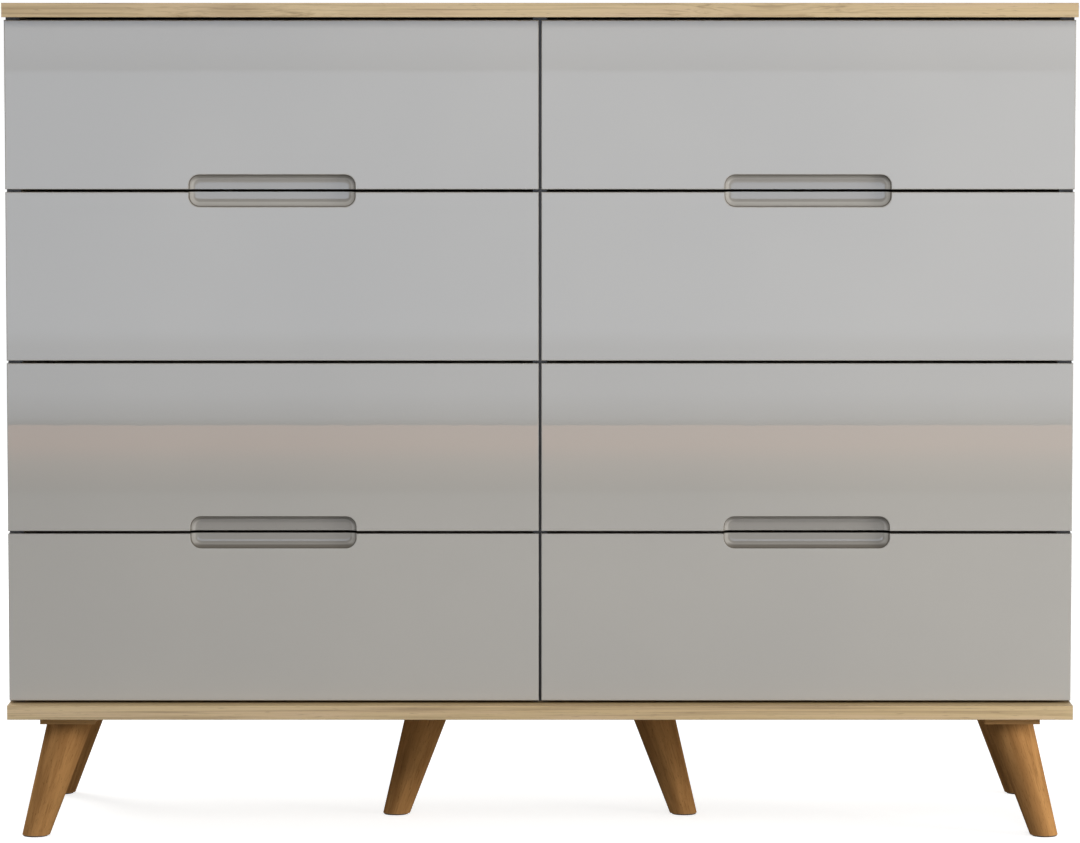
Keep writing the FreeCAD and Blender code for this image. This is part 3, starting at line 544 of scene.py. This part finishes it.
def runner_fittings(side, row, plastic, steel):
    """The release lever and the pan-head screws inside each drawer rail."""
    walls, middle, front, _ = runner_places(side, row)
    levers, screws = Solids(), Solids()
    for wall in walls:
        levers.against(*wall)
        screws.against(*wall)
        levers.prism([(front + y / 1000, middle + z / 1000) for y, z in LEVER], LEVER_NEAR, LEVER_FAR)
        levers.turned((PIN_NEAR, front + PIN_PLACE, middle), "x", PIN, sides=20)
        for y in SCREW_PLACES:
            screws.turned((SCREW_SEAT, front + y, middle), "x", [(r, -h) for r, h in PAN_HEAD], sides=20)
    body = f"drawer_{side}_{row}"
    levers.piece(f"release_levers_{side}_{row}", body, plastic, "glide_plastic")
    screws.piece(f"runner_screws_{side}_{row}", body, steel, "zinc_steel")


def drawer_fittings(side, row, grey, clear):
    """Round cover caps on the inside of the drawer's sides, and soft bumpers behind its front."""
    low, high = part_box(f"drawer_{side}_{row}_box")
    caps, bumpers = Solids(), Solids()
    for wall, sense in ((low.x + BOX_WALL, 1), (high.x - BOX_WALL, -1)):
        caps.against(wall, sense)
        for lift in CAP_LIFTS:
            caps.turned((0, low.y + CAP_SETBACK, low.z + lift), "x", COVER_CAP, sides=28)
    panel_low, panel_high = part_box(f"{side}_side_panel")
    front_low, front_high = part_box(f"drawer_{side}_{row}_front")
    outward = -1 if side == "left" else 1
    for x in ((panel_low.x + panel_high.x) / 2, outward * BUMPER_OFF_MIDDLE):
        for z in (front_low.z + BUMPER_INSET, front_high.z - BUMPER_INSET):
            bumpers.turned((x, low.y, z), "y", BUMPER, sides=16)
    body = f"drawer_{side}_{row}"
    caps.piece(f"cam_caps_{side}_{row}", body, grey, "box_board")
    bumpers.piece(f"bumpers_{side}_{row}", body, clear, "glide_plastic")


def fit_out():
    """Adds the small fittings to every drawer and its runners."""
    black = moulded_plastic("black_plastic", (0.018, 0.018, 0.019, 1), 0.45)
    grey = moulded_plastic("grey_plastic", (0.50, 0.49, 0.47, 1), 0.5)
    clear = moulded_plastic("bumper_rubber", (0.62, 0.62, 0.60, 1), 0.35)
    steel = metal("ball_steel", (0.80, 0.80, 0.81, 1), (0.62, 0.62, 0.63, 1), 0.16, (900, 900, 900))
    screw = metal("screw_zinc", (0.70, 0.70, 0.69, 1), (0.48, 0.48, 0.48, 1), 0.34, (700, 700, 700))
    for side in SIDES:
        for row in ROWS:
            ball_cages(side, row, black, steel)
            runner_fittings(side, row, black, screw)
            drawer_fittings(side, row, grey, clear)


# ---------------------------------------------------------------- studio


def floor():
    """A plain pale floor that runs far out on every side and glows enough to come out nearly white."""
    glow = {"Emission_Color": WHITE, "Emission_Strength": FLOOR_GLOW}
    pale = Surface("floor", Roughness=0.9, Specular_IOR_Level=0.1, **glow)
    cloud = pale.noise(pale.place((0.4, 0.4, 0.4)), detail=2)
    pale.feed("Base Color", pale.blend(cloud, (0.60, 0.60, 0.60, 1), (0.59, 0.59, 0.59, 1)))
    corners = [(-REACH, -REACH, 0), (REACH, -REACH, 0), (REACH, REACH, 0), (-REACH, REACH, 0)]
    made = mesh_object("floor", corners, [(0, 1, 2, 3)], pale.material)
    made.visible_diffuse = False


def backdrop():
    """A white wall all round, far off, which only the camera sees."""
    steps = 32
    glow = Surface("backdrop", Emission_Color=WHITE, Emission_Strength=1.0, Specular_IOR_Level=0.0)
    glow.shader.inputs["Base Color"].default_value = BLACK
    ring = [2 * math.pi * step / steps for step in range(steps)]
    points = [(REACH * math.cos(a), REACH * math.sin(a), z) for z in (-0.01, BACKDROP_HEIGHT) for a in ring]
    faces = [(i, (i + 1) % steps, steps + (i + 1) % steps, steps + i) for i in range(steps)]
    wall = mesh_object("backdrop", points, faces, glow.material)
    for kind in ("diffuse", "glossy", "transmission", "volume_scatter", "shadow"):
        setattr(wall, "visible_" + kind, False)


def glow_panel(name, corners, axis, start, span, steps, strength):
    """A panel of bands that only reflections show; each step is (share of the span, colour)."""
    glow = bpy.data.materials.new(name)
    glow.use_nodes = True
    tree = glow.node_tree
    tree.nodes.clear()
    split = tree.nodes.new("ShaderNodeSeparateXYZ")
    tree.links.new(tree.nodes.new("ShaderNodeTexCoord").outputs["Object"], split.inputs[0])
    along = tree.nodes.new("ShaderNodeMapRange")
    along.inputs["From Min"].default_value, along.inputs["From Max"].default_value = start, start + span
    tree.links.new(split.outputs[axis], along.inputs["Value"])
    ramp = tree.nodes.new("ShaderNodeValToRGB")
    tree.links.new(along.outputs[0], ramp.inputs[0])
    while len(ramp.color_ramp.elements) < len(steps):
        ramp.color_ramp.elements.new(0.5)
    for element, (place, colour) in zip(ramp.color_ramp.elements, steps):
        element.position, element.color = place, (*colour, 1)
    emission = tree.nodes.new("ShaderNodeEmission")
    tree.links.new(ramp.outputs[0], emission.inputs[0])
    emission.inputs[1].default_value = strength
    output = tree.nodes.new("ShaderNodeOutputMaterial")
    tree.links.new(emission.outputs[0], output.inputs[0])
    panel = mesh_object(name, corners, [(0, 3, 2, 1)], glow)
    panel.visible_camera = False
    panel.visible_diffuse = False


def light_wall(front):
    """The big soft panel that the fronts mirror above the floor, and the warm strip of floor at its foot."""
    far, half = front - WALL_DISTANCE, WALL_WIDTH / 2
    steps = [(place, tuple(level * c for c in WALL_TINT)) for place, level in WALL_LEVELS]
    corners = [(-half, far, 0), (half, far, 0), (half, far, WALL_HEIGHT), (-half, far, WALL_HEIGHT)]
    glow_panel("light_wall", corners, "Z", 0, WALL_HEIGHT, steps, WALL_LIGHT)
    near, lift = far + WARM_DEPTH, WARM_LIFT
    corners = [(-half, near, lift), (half, near, lift), (half, far, lift), (-half, far, lift)]
    glow_panel("warm_floor", corners, "Y", far, WARM_DEPTH, WARM_STEPS, WARM_LIGHT)


def soft_lamp(name, place, target, size, power, colour=(1, 1, 1)):
    """A square area lamp that faces a point and never shows itself, not even in reflections."""
    lamp = bpy.data.lights.new(name, "AREA")
    lamp.size, lamp.energy, lamp.color = size, power, colour
    made = bpy.data.objects.new(name, lamp)
    bpy.context.scene.collection.objects.link(made)
    made.location = place
    made.rotation_euler = (Vector(target) - Vector(place)).to_track_quat("-Z", "Y").to_euler()
    made.visible_camera = False
    made.visible_glossy = False


def sky():
    """Soft even light from above the horizon, and little from below it."""
    world = bpy.data.worlds.new("studio")
    bpy.context.scene.world = world
    world.use_nodes = True
    tree = world.node_tree
    split = tree.nodes.new("ShaderNodeSeparateXYZ")
    tree.links.new(tree.nodes.new("ShaderNodeTexCoord").outputs["Generated"], split.inputs[0])
    level = tree.nodes.new("ShaderNodeMapRange")
    tree.links.new(split.outputs["Z"], level.inputs["Value"])
    settings = (("From Min", -0.05), ("From Max", 0.05), ("To Min", SKY_BELOW), ("To Max", SKY_ABOVE))
    for socket, value in settings:
        level.inputs[socket].default_value = value
    background = tree.nodes["Background"]
    background.inputs["Color"].default_value = (0.96, 0.98, 1, 1)
    tree.links.new(level.outputs[0], background.inputs["Strength"])


def studio(low, high):
    """White surroundings, the light wall, and soft lamps low at the right, high in front and high behind."""
    sky()
    light_wall(low.y)
    key_place, key_target = (high.x + 1.8, low.y - 0.9, 0.5), (0.2, low.y, 0.35)
    soft_lamp("key", key_place, key_target, size=0.9, power=33, colour=(1.0, 0.98, 0.95))
    soft_lamp("high_front", (0.3, low.y - 3.2, 2.3), (0, low.y, 0.5), size=1.2, power=55)
    soft_lamp("rear", (low.x - 1.6, high.y + 2.4, 2.4), (-0.2, high.y, 0.45), size=1.6, power=60)
    bpy.context.scene.view_settings.view_transform = "Standard"


def camera(low, high):
    """The photograph's view: far off, a little above the middle, looking slightly down on the front."""
    lens = bpy.data.cameras.new("camera")
    lens.lens, lens.sensor_width, lens.shift_y = LENS, SENSOR, LENS_SHIFT
    made = bpy.data.objects.new("camera", lens)
    bpy.context.scene.collection.objects.link(made)
    made.location = ((low.x + high.x) / 2, low.y - CAMERA_DISTANCE, high.z - CAMERA_DROP)
    made.rotation_euler = (math.pi / 2 - CAMERA_PITCH, 0, 0)
    bpy.context.scene.camera = made


# ---------------------------------------------------------------- the scene


LOW, HIGH = (Vector(corner) for corner in CAD_BOX)
paint_frame()
fit_out()
floor()
backdrop()
studio(LOW, HIGH)
camera(LOW, HIGH)
